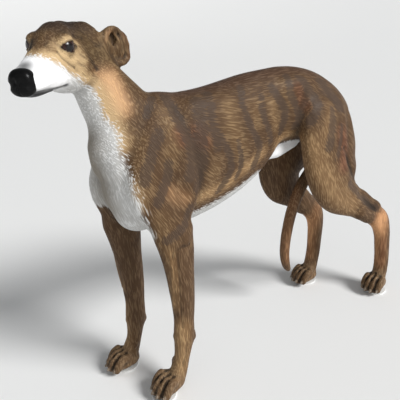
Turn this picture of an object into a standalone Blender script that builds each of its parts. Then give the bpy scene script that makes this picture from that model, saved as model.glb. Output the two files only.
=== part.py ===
"""Greyhound statue: one painted resin casting that stands on four round felt pads.

The dog faces -X with its left side at -Y, and the table top is at Z = 0.
Its pose and proportions are shares of the height of its withers.
"""

import math

import bmesh
import bpy
import numpy as np
from mathutils import Matrix, Vector
from mathutils.bvhtree import BVHTree

# Driving sizes, in metres
WITHERS_HEIGHT = 0.180
PAD_DIAMETER = 0.0145
PAD_THICKNESS = 0.0012
PAD_GAP = 0.0003
PAD_SIDES = 32

SOLE_HEIGHT = PAD_THICKNESS + PAD_GAP

# Pose of the head, which looks out to the dog's left
EYE_LEVEL = (-0.235, -0.060, 1.150)
HEAD_YAW = math.radians(48.5)
HEAD_ROLL = math.radians(-5)

# Paws: centre of the sole, how far it toes out, and the centre of its pad
PAWS = {
    "front_left": ((-0.047, -0.104), math.radians(8), (-0.075, -0.108)),
    "front_right": ((-0.120, 0.104), math.radians(-4), (-0.112, 0.106)),
    "rear_left": ((0.988, -0.152), math.radians(8), (0.985, -0.157)),
    "rear_right": ((0.802, 0.092), math.radians(-4), (0.812, 0.096)),
}

# Along each form: x, y, z, half width, half depth behind or above, half depth in front or below
TRUNK = [
    (-0.132, 0.000, 0.755, 0.018, 0.050, 0.050),
    (-0.124, 0.000, 0.757, 0.052, 0.100, 0.100),
    (-0.100, 0.000, 0.765, 0.080, 0.160, 0.150),
    (-0.050, 0.000, 0.780, 0.099, 0.195, 0.200),
    (0.030, 0.000, 0.790, 0.110, 0.206, 0.226),
    (0.120, 0.000, 0.785, 0.116, 0.200, 0.224),
    (0.220, 0.000, 0.795, 0.114, 0.190, 0.218),
    (0.320, 0.000, 0.815, 0.105, 0.182, 0.205),
    (0.420, 0.000, 0.845, 0.093, 0.166, 0.176),
    (0.500, 0.000, 0.865, 0.085, 0.147, 0.132),
    (0.580, 0.000, 0.865, 0.084, 0.143, 0.120),
    (0.660, 0.000, 0.850, 0.086, 0.136, 0.120),
    (0.740, 0.000, 0.820, 0.084, 0.122, 0.115),
    (0.810, 0.000, 0.782, 0.074, 0.102, 0.095),
    (0.862, 0.000, 0.752, 0.052, 0.074, 0.065),
    (0.892, 0.000, 0.742, 0.024, 0.036, 0.030),
]
NECK = [
    (-0.140, 0.028, 1.125, 0.048, 0.060, 0.050),
    (-0.116, 0.020, 1.065, 0.055, 0.072, 0.064),
    (-0.088, 0.011, 0.995, 0.064, 0.096, 0.080),
    (-0.048, 0.003, 0.915, 0.080, 0.114, 0.100),
    (-0.010, 0.000, 0.830, 0.090, 0.122, 0.112),
    (0.030, 0.000, 0.740, 0.085, 0.100, 0.100),
]
SHOULDER = [
    (0.035, -0.040, 0.975, 0.022, 0.040, 0.035),
    (0.000, -0.064, 0.890, 0.034, 0.078, 0.060),
    (-0.030, -0.078, 0.790, 0.038, 0.100, 0.070),
    (-0.032, -0.084, 0.715, 0.041, 0.110, 0.072),
    (0.010, -0.090, 0.640, 0.040, 0.080, 0.070),
    (0.025, -0.096, 0.580, 0.038, 0.060, 0.066),
]
FORELEG = [
    (0.020, -0.094, 0.640, 0.038, 0.060, 0.070),
    (0.026, -0.100, 0.580, 0.040, 0.062, 0.070),
    (0.028, -0.104, 0.530, 0.040, 0.060, 0.060),
    (0.031, -0.105, 0.460, 0.039, 0.050, 0.050),
    (0.033, -0.104, 0.390, 0.036, 0.045, 0.045),
    (0.034, -0.103, 0.320, 0.032, 0.040, 0.040),
    (0.031, -0.102, 0.255, 0.029, 0.036, 0.036),
    (0.026, -0.102, 0.205, 0.032, 0.038, 0.037),
    (0.019, -0.102, 0.165, 0.029, 0.034, 0.031),
    (0.009, -0.102, 0.115, 0.026, 0.028, 0.027),
    (-0.008, -0.103, 0.070, 0.030, 0.030, 0.030),
    (-0.022, -0.104, 0.035, 0.032, 0.028, 0.030),
]
HINDLEG = [
    (0.758, -0.040, 0.888, 0.035, 0.040, 0.090),
    (0.755, -0.064, 0.820, 0.050, 0.085, 0.130),
    (0.735, -0.084, 0.730, 0.054, 0.128, 0.160),
    (0.715, -0.098, 0.650, 0.052, 0.138, 0.132),
    (0.715, -0.110, 0.580, 0.048, 0.140, 0.104),
    (0.748, -0.116, 0.515, 0.042, 0.112, 0.082),
    (0.812, -0.120, 0.465, 0.037, 0.078, 0.060),
    (0.890, -0.124, 0.415, 0.032, 0.056, 0.045),
    (0.950, -0.128, 0.370, 0.030, 0.052, 0.040),
    (0.998, -0.131, 0.325, 0.030, 0.056, 0.038),
    (1.022, -0.134, 0.270, 0.029, 0.046, 0.036),
    (1.028, -0.138, 0.210, 0.029, 0.037, 0.034),
    (1.028, -0.142, 0.150, 0.029, 0.035, 0.032),
    (1.022, -0.146, 0.100, 0.029, 0.034, 0.032),
    (1.010, -0.149, 0.060, 0.030, 0.031, 0.034),
    (1.000, -0.151, 0.030, 0.031, 0.028, 0.033),
]
TAIL = [
    (0.806, 0.000, 0.862, 0.028, 0.028, 0.028),
    (0.854, 0.000, 0.800, 0.026, 0.026, 0.026),
    (0.876, 0.003, 0.738, 0.025, 0.025, 0.025),
    (0.842, 0.008, 0.672, 0.024, 0.024, 0.024),
    (0.760, 0.014, 0.606, 0.024, 0.024, 0.024),
    (0.690, 0.020, 0.525, 0.024, 0.024, 0.024),
    (0.646, 0.026, 0.430, 0.023, 0.023, 0.023),
    (0.622, 0.030, 0.335, 0.022, 0.022, 0.022),
    (0.612, 0.032, 0.245, 0.021, 0.021, 0.021),
    (0.622, 0.032, 0.180, 0.018, 0.018, 0.018),
    (0.642, 0.032, 0.145, 0.010, 0.010, 0.010),
]
SHEATH = [
    (0.470, 0.000, 0.705, 0.012, 0.012, 0.012),
    (0.490, 0.000, 0.706, 0.022, 0.022, 0.022),
    (0.530, 0.000, 0.712, 0.024, 0.024, 0.026),
    (0.590, 0.000, 0.728, 0.024, 0.026, 0.024),
    (0.650, 0.000, 0.745, 0.022, 0.024, 0.020),
]
# In the head's own axes: forward from the eyes, to its left, up
HEAD = [
    (0.172, 0.000, -0.062, 0.012, 0.010, 0.014),
    (0.164, 0.000, -0.062, 0.025, 0.020, 0.028),
    (0.146, 0.000, -0.061, 0.031, 0.027, 0.037),
    (0.118, 0.000, -0.058, 0.034, 0.034, 0.044),
    (0.082, 0.000, -0.052, 0.038, 0.043, 0.050),
    (0.046, 0.000, -0.045, 0.044, 0.054, 0.058),
    (0.008, 0.000, -0.036, 0.050, 0.071, 0.070),
    (-0.035, 0.000, -0.032, 0.059, 0.082, 0.088),
    (-0.080, 0.000, -0.030, 0.067, 0.076, 0.096),
    (-0.125, 0.000, -0.028, 0.071, 0.075, 0.094),
    (-0.170, 0.000, -0.028, 0.066, 0.076, 0.070),
    (-0.205, 0.000, -0.034, 0.044, 0.052, 0.048),
    (-0.224, 0.000, -0.040, 0.014, 0.020, 0.020),
]
EYES = ((0.008, 0.040, -0.006), 0.0195)
BROWS = ((0.000, 0.034, 0.014), (0.030, 0.019, 0.014))
CHEEKS = ((-0.085, 0.040, -0.055), (0.060, 0.030, 0.050))
NOSE = ((0.152, 0.000, -0.057), (0.024, 0.033, 0.023))
EARS = ((-0.197, 0.094, -0.016), (0.052, 0.050, 0.017), math.radians(45))
EAR_ROOTS = ((-0.170, 0.060, -0.014), (0.030, 0.030, 0.040))
# Toes: how far across the paw, and how far ahead of it
TOES = [(-0.033, 0.044), (-0.0115, 0.057), (0.0115, 0.057), (0.033, 0.044)]
# Along each toe: x, share of its reach, share of its place across, z, girth
TOE_JOINTS = [
    (0.012, 0, 0.80, 0.050, 0.0120),
    (-0.014, 0, 0.95, 0.056, 0.0145),
    (0.014, 1, 1.00, 0.042, 0.0150),
    (0.003, 1, 1.04, 0.020, 0.0125),
    (-0.004, 1, 1.04, 0.006, 0.0060),
]
# Between two toes: x, z
TOE_GROOVE = [(0.000, 0.066), (-0.030, 0.062), (-0.052, 0.045), (-0.060, 0.030)]

# Muscles that stand out: centre, radii, and whether the right side has it too
MUSCLES = [
    ((0.080, -0.098, 0.720), (0.055, 0.030, 0.105), True),
    ((-0.030, -0.072, 0.800), (0.050, 0.040, 0.090), True),
    ((0.062, -0.098, 0.585), (0.034, 0.026, 0.040), True),
    ((-0.068, 0.000, 0.730), (0.072, 0.086, 0.100), False),
    ((-0.040, 0.000, 0.660), (0.080, 0.080, 0.082), False),
    ((0.655, -0.095, 0.790), (0.090, 0.030, 0.105), True),
    ((0.560, -0.046, 0.930), (0.120, 0.045, 0.058), True),
    ((0.200, -0.045, 0.915), (0.170, 0.050, 0.060), True),
    ((0.055, -0.102, 0.176), (0.016, 0.014, 0.018), True),
]
# Where one form flows into the next: centre and reach
BLENDS = [
    ((-0.060, 0.000, 0.900), 0.200),
    ((0.020, 0.000, 0.750), 0.240),
    ((-0.060, 0.000, 0.680), 0.170),
    ((0.250, 0.000, 0.820), 0.300),
    ((0.560, 0.000, 0.850), 0.260),
    ((0.740, 0.000, 0.800), 0.260),
    ((0.790, -0.120, 0.530), 0.110),
    ((0.730, 0.120, 0.530), 0.110),
    ((-0.130, 0.020, 1.080), 0.090),
]
# Carved lines of the left side: points on the skin, reach, and depth (a ridge where negative)
BODY_STROKES = [
    ([(0.010, -0.070, 0.965), (-0.070, -0.090, 0.860), (-0.110, -0.080, 0.770)], 0.030, 0.006),
    (
        [(0.085, -0.090, 0.960), (0.120, -0.120, 0.850), (0.140, -0.120, 0.740), (0.125, -0.110, 0.640)],
        0.034,
        0.007,
    ),
    ([(0.250, -0.110, 0.860), (0.245, -0.120, 0.760), (0.215, -0.105, 0.660)], 0.020, 0.003),
    ([(0.310, -0.110, 0.870), (0.310, -0.115, 0.780), (0.285, -0.100, 0.680)], 0.020, 0.003),
    ([(0.370, -0.100, 0.880), (0.375, -0.105, 0.800), (0.355, -0.095, 0.700)], 0.020, 0.003),
    ([(0.480, -0.090, 0.870), (0.500, -0.090, 0.800)], 0.050, 0.006),
    ([(0.600, -0.080, 0.940), (0.572, -0.100, 0.860), (0.560, -0.100, 0.770)], 0.030, 0.006),
]
HINDLEG_STROKES = [
    (
        [(0.800, -0.110, 0.840), (0.780, -0.130, 0.740), (0.770, -0.140, 0.640), (0.800, -0.150, 0.560)],
        0.026,
        0.006,
    ),
    ([(0.860, -0.150, 0.460), (0.930, -0.150, 0.410)], 0.018, 0.005),
    ([(0.985, -0.165, 0.330), (1.000, -0.165, 0.290)], 0.020, 0.004),
]
# Lines of the left side of the face, in the head's axes
FACE_STROKES = [
    (
        [(0.172, 0.010, -0.086), (0.150, 0.028, -0.088), (0.105, 0.036, -0.084), (0.056, 0.044, -0.078)],
        0.008,
        0.006,
    ),
    ([(0.034, 0.042, -0.006), (0.012, 0.058, -0.022), (-0.014, 0.058, -0.008)], 0.009, 0.004),
    ([(0.034, 0.040, -0.002), (0.010, 0.056, 0.009), (-0.014, 0.058, -0.004)], 0.007, 0.003),
    ([(0.060, 0.040, -0.050), (-0.010, 0.060, -0.060)], 0.020, 0.003),
    ([(-0.186, 0.095, 0.022), (-0.190, 0.098, -0.010), (-0.200, 0.100, -0.040)], 0.026, 0.012),
    ([(0.168, 0.012, -0.052), (0.166, 0.018, -0.054)], 0.008, 0.006),
]
# How the right legs stand: at each height, how far they are moved along the body and toward its middle
FORELEG_STANCE = [(0.00, -0.080, 0.000), (0.60, -0.080, 0.000), (0.75, -0.040, 0.000), (1.00, 0.000, 0.000)]
HINDLEG_STANCE = [
    (0.00, -0.178, 0.060),
    (0.06, -0.176, 0.053),
    (0.10, -0.174, 0.047),
    (0.17, -0.170, 0.042),
    (0.26, -0.162, 0.036),
    (0.30, -0.153, 0.032),
    (0.35, -0.141, 0.028),
    (0.42, -0.116, 0.022),
    (0.47, -0.099, 0.016),
    (0.55, -0.074, 0.006),
    (0.65, -0.042, 0.000),
    (0.90, 0.000, 0.000),
]

# How finely the forms are made, and how their skin is thinned out
RINGS_PER_SPAN = 4
RING_POINTS = 20
MODELLING_GRAIN = 0.0012
TRIANGLES = 9200
FOCUS = 0.006
HEAD_REACH = 0.26
THROAT_HEIGHT = 1.02
PAW_HEIGHT = 0.09
MID_BODY = 0.3


def smooth_path(stations, per_span=RINGS_PER_SPAN):
    """The stations joined by a Catmull-Rom curve, in every column."""
    rows = np.array(stations, float)
    padded = np.vstack([2 * rows[0] - rows[1], rows, 2 * rows[-1] - rows[-2]])
    out = []
    for i in range(1, len(padded) - 2):
        a, b, c, d = padded[i - 1 : i + 3]
        for t in np.arange(per_span) / per_span:
            bend, twist = 2 * a - 5 * b + 4 * c - d, 3 * b - a - 3 * c + d
            out.append((2 * b + (c - a) * t + bend * t**2 + twist * t**3) / 2)
    return np.array(out + [rows[-1]])


def loft(bm, stations, egg=0.0, square=2.0):
    """A closed body through oval sections, each square to the path and level from side to side."""
    rows = smooth_path(stations)
    centres = rows[:, :3]
    tangents = np.gradient(centres, axis=0)
    rings = []
    for centre, tangent, (width, upper, lower) in zip(centres, tangents, rows[:, 3:]):
        along = Vector(tangent).normalized()
        side = (Vector((0, 1, 0)) - along * along.y).normalized()
        above = along.cross(side)
        ring = []
        for k in range(RING_POINTS):
            angle = 2 * math.pi * k / RING_POINTS
            across = math.copysign(abs(math.cos(angle)) ** (2 / square), math.cos(angle))
            rise = math.copysign(abs(math.sin(angle)) ** (2 / square), math.sin(angle))
            outward = side * across * width * (1 + egg * rise) + above * rise * (upper if rise > 0 else lower)
            ring.append(bm.verts.new(Vector(centre) + outward))
        rings.append(ring)
    for ring, following in zip(rings, rings[1:]):
        for k in range(RING_POINTS):
            after = (k + 1) % RING_POINTS
            bm.faces.new((ring[k], ring[after], following[after], following[k]))
    bm.faces.new(rings[0][::-1])
    bm.faces.new(rings[-1])


def ellipsoid(bm, centre, radii, turn=None):
    """A ball stretched to three radii, turned, and put at its centre."""
    matrix = Matrix.Translation(centre) @ (turn or Matrix.Identity(4)) @ Matrix.Diagonal((*radii, 1))
    bmesh.ops.create_uvsphere(bm, u_segments=20, v_segments=14, radius=1, matrix=matrix)


def far_side(stations, stance):
    """The same stations on the dog's right, where the leg there stands."""
    heights, leads, pulls = zip(*stance)
    out = []
    for x, y, z, *rest in stations:
        lead, pull = float(np.interp(z, heights, leads)), float(np.interp(z, heights, pulls))
        out.append((x + lead, -y - pull, z, *rest))
    return out


def head_frame():
    """The head's axes in the body's: X forward along the muzzle, Y to its left, Z up."""
    turn = Matrix.Rotation(math.pi + HEAD_YAW, 4, "Z") @ Matrix.Rotation(HEAD_ROLL, 4, "X")
    return Matrix.Translation(EYE_LEVEL) @ turn


def copy_into(bm, other, place):
    """Puts one set of forms at its place in another."""
    bmesh.ops.transform(other, matrix=place, verts=other.verts)
    mesh = bpy.data.meshes.new("forms")
    other.to_mesh(mesh)
    other.free()
    bm.from_mesh(mesh)
    bpy.data.meshes.remove(mesh)


def add_head(bm):
    """Skull and muzzle, nose, eyes under their brows, and two ears that fold back."""
    head = bmesh.new()
    loft(head, [(-x, y, z, *rest) for x, y, z, *rest in HEAD], egg=-0.12, square=2.3)
    bmesh.ops.transform(head, matrix=Matrix.Rotation(math.pi, 4, "Z"), verts=head.verts)
    ellipsoid(head, *NOSE)
    (eye, radius), (ear, ear_radii, sweep) = EYES, EARS
    for side in (1, -1):
        there = Matrix.Diagonal((1, side, 1, 1))
        ellipsoid(head, there @ Vector(eye), (radius,) * 3)
        for centre, radii in (BROWS, CHEEKS, EAR_ROOTS):
            ellipsoid(head, there @ Vector(centre), radii)
        turn = Matrix.Rotation(side * sweep, 4, "Z") @ Matrix.Rotation(math.radians(90), 4, "Y")
        ellipsoid(head, there @ Vector(ear), ear_radii, turn)
    copy_into(bm, head, head_frame())


def add_paw(bm, centre, turn):
    """A hare foot: four arched toes, each with a claw, over a heel pad."""
    paw = bmesh.new()
    ellipsoid(paw, (0.018, 0, 0.030), (0.040, 0.036, 0.032))
    ellipsoid(paw, (-0.008, 0, 0.026), (0.042, 0.040, 0.027))
    for across, reach in TOES:
        loft(
            paw,
            [
                (x - share * reach, across * spread, z, girth, girth, girth * 1.15)
                for x, share, spread, z, girth in TOE_JOINTS
            ],
        )
    rise = SOLE_HEIGHT / WITHERS_HEIGHT * 0.6
    copy_into(bm, paw, Matrix.Translation((*centre, rise)) @ Matrix.Rotation(turn, 4, "Z"))


def dog_forms():
    """Every form of the dog as overlapping closed bodies, in shares of the withers height."""
    bm = bmesh.new()
    loft(bm, TRUNK, egg=0.10)
    loft(bm, NECK)
    limbs = ((SHOULDER, FORELEG_STANCE), (FORELEG, FORELEG_STANCE), (HINDLEG, HINDLEG_STANCE))
    for stations, stance in limbs:
        loft(bm, stations)
        loft(bm, far_side(stations, stance))
    loft(bm, TAIL)
    loft(bm, SHEATH)
    add_head(bm)
    for centre, turn, _ in PAWS.values():
        add_paw(bm, centre, turn)
    for centre, radii, both in MUSCLES:
        ellipsoid(bm, centre, radii)
        if both:
            (there,) = far_side([centre], FORELEG_STANCE if centre[0] < MID_BODY else HINDLEG_STANCE)
            ellipsoid(bm, there, radii)
    return bm


def evaluated_mesh(obj):
    """The mesh that the object's modifiers make."""
    bpy.context.view_layer.update()
    return bpy.data.meshes.new_from_object(obj.evaluated_get(bpy.context.evaluated_depsgraph_get()))


def fuse(bm, name):
    """One clean skin round all the forms, as an object."""
    bmesh.ops.triangulate(bm, faces=bm.faces)
    mesh = bpy.data.meshes.new(name)
    bm.to_mesh(mesh)
    bm.free()
    obj = bpy.data.objects.new(name, mesh)
    bpy.context.scene.collection.objects.link(obj)
    remesh = obj.modifiers.new("Fuse", "REMESH")
    remesh.mode = "VOXEL"
    remesh.voxel_size = MODELLING_GRAIN / WITHERS_HEIGHT
    fused = evaluated_mesh(obj)
    obj.modifiers.clear()
    obj.data = fused
    return obj


def points_of(mesh):
    """Every vertex of the mesh, as an array."""
    flat = np.empty(3 * len(mesh.vertices))
    mesh.vertices.foreach_get("co", flat)
    return flat.reshape(-1, 3)


def relax(mesh, points, weights, rounds, shrink=0.0):
    """Each vertex moves toward the middle of its neighbours, then part of the way back out."""
    edges = np.empty(2 * len(mesh.edges), int)
    mesh.edges.foreach_get("vertices", edges)
    a, b = edges.reshape(-1, 2).T
    ends, others = np.concatenate([a, b]), np.concatenate([b, a])
    count = np.bincount(ends, minlength=len(points))[:, None]
    for _ in range(rounds):
        for gain in (0.5, -0.52 * (1 - shrink)):
            sums = [np.bincount(ends, points[others, k], len(points)) for k in range(3)]
            points = points + gain * weights[:, None] * (np.stack(sums, 1) / count - points)
    return points


def fade(distance, reach):
    """One at no distance, falling smoothly to nothing at the reach."""
    return np.clip(1 - (distance / reach) ** 2, 0, 1) ** 2


def line_distance(points, path):
    """How far each point is from a line through the path's points."""
    nearest = np.full(len(points), np.inf)
    for start, end in zip(path, path[1:]):
        along = end - start
        share = np.clip((points - start) @ along / (along @ along), 0, 1)
        nearest = np.minimum(nearest, np.linalg.norm(points - start - share[:, None] * along, axis=1))
    return nearest


def carve(mesh, strokes):
    """Sinks a groove along each stroke, or raises a ridge where its depth is negative."""
    points = points_of(mesh)
    normals = np.empty(3 * len(points))
    mesh.vertices.foreach_get("normal", normals)
    skin = BVHTree.FromPolygons([Vector(p) for p in points], [tuple(f.vertices) for f in mesh.polygons])
    moves = np.zeros(len(points))
    for path, reach, depth in strokes:
        on_skin = np.array([skin.find_nearest(Vector(p))[0] for p in path])
        moves -= depth * fade(line_distance(points, on_skin), reach)
    set_points(mesh, points + normals.reshape(-1, 3) * moves[:, None])


def set_points(mesh, points):
    """Puts every vertex of the mesh at its new place."""
    mesh.vertices.foreach_set("co", points.ravel())
    mesh.update()


def soften(mesh):
    """Takes the grain off, and lets the forms of the body flow together."""
    points = relax(mesh, points_of(mesh), np.ones(len(mesh.vertices)), 14)
    body = np.zeros(len(points))
    for centre, reach in BLENDS:
        body = np.maximum(body, fade(np.linalg.norm(points - np.array(centre), axis=1), reach))
    set_points(mesh, relax(mesh, points, body, 50, 0.9))


def both_sides(strokes, stance=((0, 0, 0),)):
    """The strokes of the left side, and the same on the right."""
    out = []
    for path, reach, depth in strokes:
        out.append((path, reach, depth))
        out.append((far_side(path, stance), reach, depth))
    return out


def head_strokes():
    """The strokes of the face and ears, taken from the head's axes to the body's."""
    frame = head_frame()
    return [
        ([tuple(frame @ Vector(point)) for point in path], reach, depth)
        for path, reach, depth in both_sides(FACE_STROKES)
    ]


def paw_strokes():
    """The grooves between the toes of each paw."""
    out = []
    for centre, turn, _ in PAWS.values():
        place = Matrix.Translation((*centre, 0)) @ Matrix.Rotation(turn, 4, "Z")
        for (a, _), (b, _) in zip(TOES, TOES[1:]):
            path = [tuple(place @ Vector((x, (a + b) / 2, z))) for x, z in TOE_GROOVE]
            out.append((path, 0.0090, 0.006))
    return out


def thin_out(dog, focus):
    """Fewer triangles: most are kept on the head and the paws."""
    group = dog.vertex_groups.new(name="plain")
    for index, weight in enumerate(focus):
        group.add([index], float(weight), "REPLACE")
    decimate = dog.modifiers.new("Facets", "DECIMATE")
    decimate.vertex_group = "plain"
    decimate.vertex_group_factor = FOCUS
    decimate.use_collapse_triangulate = True
    dog.data.calc_loop_triangles()
    decimate.ratio = TRIANGLES / len(dog.data.loop_triangles)
    facets = evaluated_mesh(dog)
    dog.modifiers.clear()
    dog.vertex_groups.clear()
    dog.data = facets


def cut_soles(mesh):
    """Cuts the paws off flat where they stand on their pads."""
    bm = bmesh.new()
    bm.from_mesh(mesh)
    whole = bm.verts[:] + bm.edges[:] + bm.faces[:]
    level = Vector((0, 0, SOLE_HEIGHT))
    bmesh.ops.bisect_plane(bm, geom=whole, dist=1e-6, plane_co=level, plane_no=(0, 0, -1), clear_outer=True)
    rim = [edge for edge in bm.edges if edge.is_boundary]
    bmesh.ops.triangle_fill(bm, use_beauty=True, edges=rim, normal=(0, 0, -1))
    bmesh.ops.remove_doubles(bm, verts=bm.verts, dist=2e-5)
    bmesh.ops.recalc_face_normals(bm, faces=bm.faces)
    bm.to_mesh(mesh)
    bm.free()


def material(name, colour, roughness):
    """A plain painted surface."""
    made = bpy.data.materials.new(name)
    made.use_nodes = True
    shader = made.node_tree.nodes["Principled BSDF"]
    shader.inputs["Base Color"].default_value = (*colour, 1)
    shader.inputs["Roughness"].default_value = roughness
    made.diffuse_color = (*colour, 1)
    return made


def pad(name, centre):
    """A round stick-on felt pad that lies flat on the table."""
    bm = bmesh.new()
    bmesh.ops.create_cone(
        bm,
        cap_ends=True,
        segments=PAD_SIDES,
        radius1=PAD_DIAMETER / 2,
        radius2=PAD_DIAMETER / 2,
        depth=PAD_THICKNESS,
        matrix=Matrix.Translation((*centre, PAD_THICKNESS / 2)),
    )
    mesh = bpy.data.meshes.new(name)
    bm.to_mesh(mesh)
    bm.free()
    return bpy.data.objects.new(name, mesh)


def carved_dog():
    """The dog as one solid, at its real size but not yet in its place."""
    dog = fuse(dog_forms(), "greyhound")
    mesh = dog.data
    soften(mesh)
    body, hind = both_sides(BODY_STROKES), both_sides(HINDLEG_STROKES, HINDLEG_STANCE)
    carve(mesh, body + hind + head_strokes() + paw_strokes())
    points = relax(mesh, points_of(mesh), np.ones(len(mesh.vertices)), 4)
    set_points(mesh, points)
    height = points[:, 2]
    head = (np.linalg.norm(points - np.array(EYE_LEVEL), axis=1) < HEAD_REACH) & (height > THROAT_HEIGHT)
    thin_out(dog, 1.0 - 0.75 * head - 0.6 * (height < PAW_HEIGHT))
    set_points(dog.data, points_of(dog.data) * WITHERS_HEIGHT)
    cut_soles(dog.data)
    return dog


def middle_of(mesh):
    """The middle of the mesh's box, on the table."""
    points = points_of(mesh)
    x, y, _ = (points.min(axis=0) + points.max(axis=0)) / 2
    return Vector((x, y, 0))


def main():
    for obj in list(bpy.data.objects):
        bpy.data.objects.remove(obj)
    collection = bpy.data.collections.new("greyhound_statue")
    bpy.context.scene.collection.children.link(collection)

    dog = carved_dog()
    bpy.context.scene.collection.objects.unlink(dog)
    dog.data.shade_smooth()
    pads = [pad("foot_pad_" + name, Vector(centre) * WITHERS_HEIGHT) for name, (_, _, centre) in PAWS.items()]
    painted_resin = material("painted_resin", (0.19, 0.13, 0.08), 0.5)
    white_felt = material("white_felt", (0.85, 0.85, 0.83), 0.9)
    origin = middle_of(dog.data)
    for obj in [dog, *pads]:
        obj.data.transform(Matrix.Translation(-origin))
        obj.data.materials.clear()
        obj.data.materials.append(painted_resin if obj is dog else white_felt)
        collection.objects.link(obj)


if __name__ == "__main__":
    main()
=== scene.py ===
"""Looks of the greyhound statue: a hand painted resin dog that stands on four felt pads.

The dog faces -X with its left side at -Y, and lengths are metres. Places on the dog are shares of
the height of its withers, measured from the point on the table below them.
"""

import math

import bmesh
import bpy
import numpy as np
from mathutils import Matrix, Vector
from mathutils.kdtree import KDTree


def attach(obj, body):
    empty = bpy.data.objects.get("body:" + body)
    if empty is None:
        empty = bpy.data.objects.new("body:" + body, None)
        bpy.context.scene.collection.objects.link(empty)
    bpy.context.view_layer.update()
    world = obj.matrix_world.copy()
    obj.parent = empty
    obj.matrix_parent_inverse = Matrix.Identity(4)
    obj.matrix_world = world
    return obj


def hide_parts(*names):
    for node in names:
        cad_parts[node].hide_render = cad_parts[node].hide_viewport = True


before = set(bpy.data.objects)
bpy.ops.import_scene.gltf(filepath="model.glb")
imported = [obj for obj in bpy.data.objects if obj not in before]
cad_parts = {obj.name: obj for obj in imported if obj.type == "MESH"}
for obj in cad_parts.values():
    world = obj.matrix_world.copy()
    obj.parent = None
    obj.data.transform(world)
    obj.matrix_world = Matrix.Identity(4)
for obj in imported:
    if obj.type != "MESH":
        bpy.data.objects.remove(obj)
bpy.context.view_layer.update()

# Driving sizes, in metres, and where the dog's own measures start
WITHERS = 0.180
BELOW_WITHERS = Vector((-0.34961, 0.00256, 0.0)) * WITHERS
DOG_TO_TABLE = Matrix.Translation(BELOW_WITHERS) @ Matrix.Scale(WITHERS, 4)

# The head's own axes: forward along the muzzle, to its left, up
EYE_LEVEL = (-0.235, -0.060, 1.150)
HEAD_TURN = math.radians(48.5)
HEAD_ROLL = math.radians(-5)
HEAD_TO_DOG = (
    Matrix.Translation(EYE_LEVEL)
    @ Matrix.Rotation(math.pi + HEAD_TURN, 4, "Z")
    @ Matrix.Rotation(HEAD_ROLL, 4, "X")
)

EYES = {1: Vector((0.004, 0.0365, -0.002)), -1: Vector((0.008, -0.0320, 0.001))}
EYE_RADIUS = 0.0235
EYE_OUTWARD = Vector((0.25, 0.965, 0.06)).normalized()
NOSE = Vector((0.1530, 0.000, -0.0640))
NOSE_RADII = (0.0235, 0.0285, 0.03)
EARS = {1: Vector((-0.197, 0.094, -0.016)), -1: Vector((-0.197, -0.094, -0.026))}
EAR_SWEEP = math.radians(45)

# Sole centre and toe-out of each paw
PAWS = {
    "front_left": ((-0.047, -0.104), math.radians(8)),
    "front_right": ((-0.120, 0.104), math.radians(-4)),
    "rear_left": ((0.988, -0.152), math.radians(8)),
    "rear_right": ((0.802, 0.092), math.radians(-4)),
}
TOES = [(-0.033, 0.044), (-0.0115, 0.057), (0.0115, 0.057), (0.033, 0.044)]


def put(name, data):
    """A new object in the scene."""
    made = bpy.data.objects.new(name, data)
    bpy.context.scene.collection.objects.link(made)
    return made


def mesh_from(bm, name):
    """The bmesh as a mesh."""
    mesh = bpy.data.meshes.new(name)
    bm.to_mesh(mesh)
    bm.free()
    return mesh


# The photograph's view: where it looks from, its turns in degrees, and its lens and width in pixels
VIEWPOINT = Vector((-0.5795, -1.2151, 1.2025))
VIEW_TURNS = (-32.418, 22.288, -4.079)
FOCAL_PIXELS = 460.28
PHOTO_WIDTH = 400
SENSOR_WIDTH = 36


def camera():
    """The photograph's viewpoint: close in front of the dog's left shoulder, and above it."""
    azimuth, elevation, roll = map(math.radians, VIEW_TURNS)
    outward = Vector((math.sin(azimuth), -math.cos(azimuth), 0))
    back = outward * math.cos(elevation) + Vector((0, 0, math.sin(elevation)))
    level = Vector((math.cos(azimuth), math.sin(azimuth), 0))
    above = back.cross(level)
    across = level * math.cos(roll) + above * math.sin(roll)
    upright = above * math.cos(roll) - level * math.sin(roll)
    data = bpy.data.cameras.new("camera")
    data.sensor_width = SENSOR_WIDTH
    data.lens = SENSOR_WIDTH * FOCAL_PIXELS / PHOTO_WIDTH
    data.clip_start = 0.01
    eye = put("camera", data)
    turn = Matrix((across, upright, back)).transposed().to_4x4()
    eye.matrix_world = Matrix.Translation(DOG_TO_TABLE @ VIEWPOINT) @ turn
    bpy.context.scene.camera = eye


camera()


# Forms that are laid over the casting's own before it gets one skin


def tube(bm, path, girths, sides=10):
    """A closed round rod through the points, as thick at each as its girth says."""
    points = [Vector(p) for p in path]
    rings = []
    for k, (point, girth) in enumerate(zip(points, girths)):
        along = points[min(k + 1, len(points) - 1)] - points[max(k - 1, 0)]
        turn = along.to_track_quat("Z", "X").to_matrix().to_4x4()
        made = bmesh.ops.create_circle(
            bm, segments=sides, radius=girth, matrix=Matrix.Translation(point) @ turn
        )
        rings.append(made["verts"])
    for ring, following in zip(rings, rings[1:]):
        edges = [e for e in bm.edges if e.verts[0] in ring and e.verts[1] in ring]
        edges += [e for e in bm.edges if e.verts[0] in following and e.verts[1] in following]
        bmesh.ops.bridge_loops(bm, edges=edges)
    for end in (rings[0], rings[-1]):
        bmesh.ops.contextual_create(bm, geom=end)


def smooth_path(points, steps=4):
    """Points of a Catmull-Rom curve through the given ones."""
    rows = [np.array(p, float) for p in points]
    rows = [2 * rows[0] - rows[1], *rows, 2 * rows[-1] - rows[-2]]
    out = []
    for a, b, c, d in zip(rows, rows[1:], rows[2:], rows[3:]):
        for t in np.arange(steps) / steps:
            bend, twist = 2 * a - 5 * b + 4 * c - d, 3 * b - a - 3 * c + d
            out.append((2 * b + (c - a) * t + bend * t**2 + twist * t**3) / 2)
    return out + [rows[-2]]


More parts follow.
